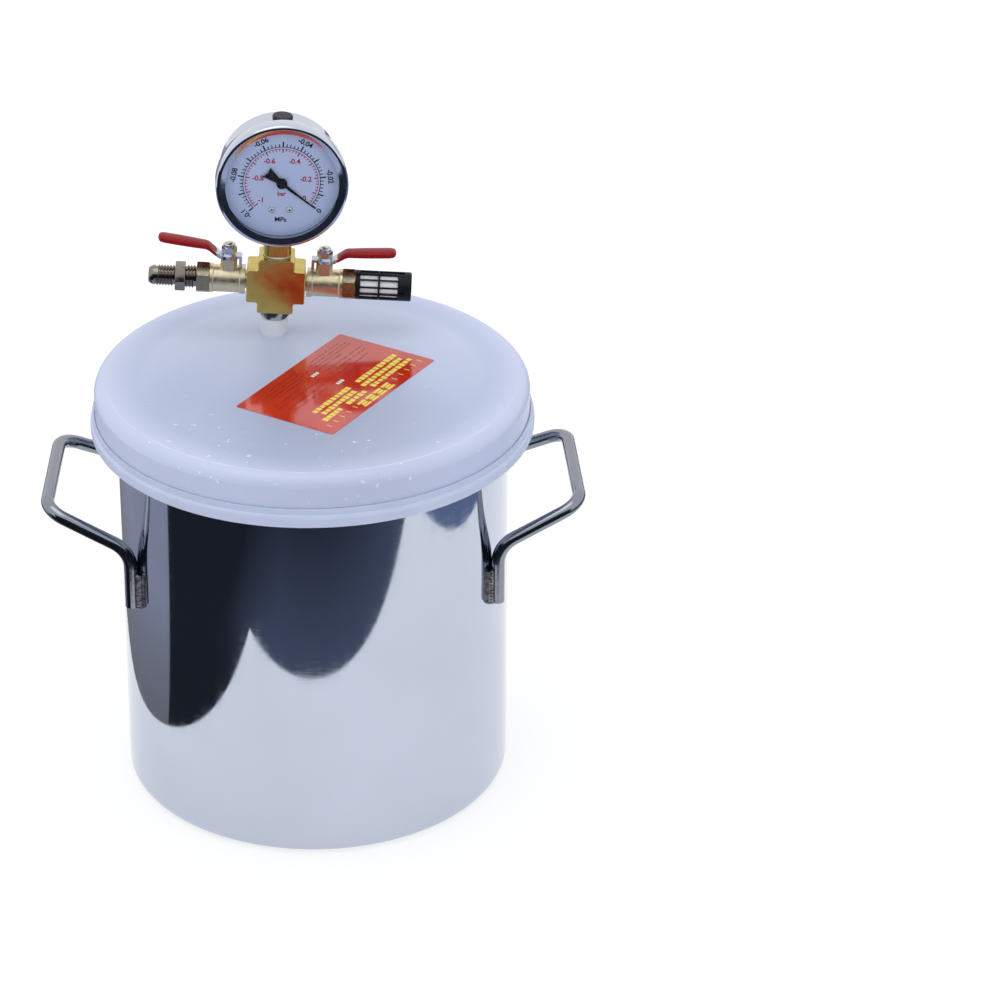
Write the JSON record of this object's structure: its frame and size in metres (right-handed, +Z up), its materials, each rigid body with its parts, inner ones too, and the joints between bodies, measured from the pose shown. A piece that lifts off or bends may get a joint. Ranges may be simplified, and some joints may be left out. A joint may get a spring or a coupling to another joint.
{
  "type": "vacuum chamber",
  "caption": "Round steel pot with two rod handles, closed by a thick translucent lid that carries a brass cross, ball valves, a hose nipple, a muffler and a dial gauge.",
  "frame": {"origin": "on the pot's axis, at its flat base", "axes": "+Z up through the lid; +X to the right handle; -Y is the front, which the gauge faces"},
  "size_m": [0.2802, 0.2288, 0.3508],
  "materials": {
    "mirror_steel": "mirror polished stainless steel",
    "rod_steel": "polished stainless rod",
    "weld_steel": "heat-tinted weld bead",
    "white_silicone": "translucent white silicone",
    "clear_acrylic": "thick translucent acrylic",
    "red_sticker": "glossy printed sticker",
    "cross_brass": "machined brass",
    "cast_brass": "satin cast brass",
    "nickel": "nickel plated, turned",
    "zinc_plate": "zinc plated steel",
    "red_vinyl": "dipped soft vinyl",
    "white_ptfe": "turned PTFE",
    "black_plastic": "moulded black plastic",
    "porous_white": "sintered porous plastic",
    "gauge_steel": "polished steel",
    "gauge_glass": "clear window",
    "dial_paint": "printed dial",
    "pointer_paint": "black painted needle",
    "movement_brass": "stamped brass",
    "black_rubber": "moulded rubber",
    "screw_steel": "small steel screw",
    "spacer_plastic": "moulded distance ring"
  },
  "bodies": {
    "vessel": {"pot": "mirror_steel", "left_handle": "rod_steel", "right_handle": "rod_steel", "handle_welds": "weld_steel", "gasket": "white_silicone"},
    "lid": {"lid_disc": "clear_acrylic", "lid_label": "red_sticker", "lid_boss": "clear_acrylic", "hex_nipple": "nickel", "cross_manifold": "cross_brass", "gauge_seal": "white_ptfe", "gauge_socket": "cross_brass", "gauge_case": "gauge_steel", "gauge_bezel": "gauge_steel", "window_spacer": "spacer_plastic", "gauge_window": "gauge_glass", "gauge_dial": "dial_paint", "dial_screws": "screw_steel", "fill_plug": "black_rubber", "movement_frame": "movement_brass", "bourdon_tube": "movement_brass", "tube_tip": "movement_brass", "gauge_link": "movement_brass", "hose_nipple": "nickel", "muffler_cage": "black_plastic", "muffler_element": "porous_white", "left_valve_body": "cast_brass", "left_valve_cap": "cast_brass", "left_ball_seats": "white_ptfe", "left_stem_packing": "white_ptfe", "right_valve_body": "cast_brass", "right_valve_cap": "cast_brass", "right_ball_seats": "white_ptfe", "right_stem_packing": "white_ptfe"},
    "left_lever_set": {"left_ball": "nickel", "left_valve_stem": "cast_brass", "left_lever": "zinc_plate", "left_lever_grip": "red_vinyl", "left_lever_nut": "zinc_plate"},
    "right_lever_set": {"right_ball": "nickel", "right_valve_stem": "cast_brass", "right_lever": "zinc_plate", "right_lever_grip": "red_vinyl", "right_lever_nut": "zinc_plate"},
    "gauge_sector": {"sector_gear": "movement_brass"},
    "gauge_pointer": {"pinion_shaft": "movement_brass", "pointer": "pointer_paint"}
  },
  "joints": [
    {"name": "lid_lift", "type": "slide", "parent": "vessel", "child": "lid", "axis": [0, 0, 1], "range_m": [0, 0.2]},
    {"name": "left_lever_turn", "type": "hinge", "parent": "lid", "child": "left_lever_set", "pos_m": [-0.04535, 0.04969, 0.25798], "axis": [0.0576, 0, 0.9983], "range_deg": [-90, 0]},
    {"name": "right_lever_turn", "type": "hinge", "parent": "lid", "child": "right_lever_set", "pos_m": [0.00416, 0.05091, 0.25512], "axis": [0.0576, 0, 0.9983], "range_deg": [-90, 0]},
    {"name": "sector_turn", "type": "hinge", "parent": "lid", "child": "gauge_sector", "pos_m": [-0.01816, 0.0503, 0.29888], "axis": [0.1078, -0.9942, -0.0062], "range_deg": [-29.22, 0], "stiffness_Nm_per_rad": 0.02, "springref_deg": 2.86},
    {"name": "pointer_turn", "type": "hinge", "parent": "lid", "child": "gauge_pointer", "pos_m": [-0.01712, 0.0503, 0.31685], "axis": [0.1078, -0.9942, -0.0062], "range_deg": [0, 263]}
  ],
  "couplings": [
    {"joint": "pointer_turn", "follows": "sector_turn", "ratio": -9}
  ]
}
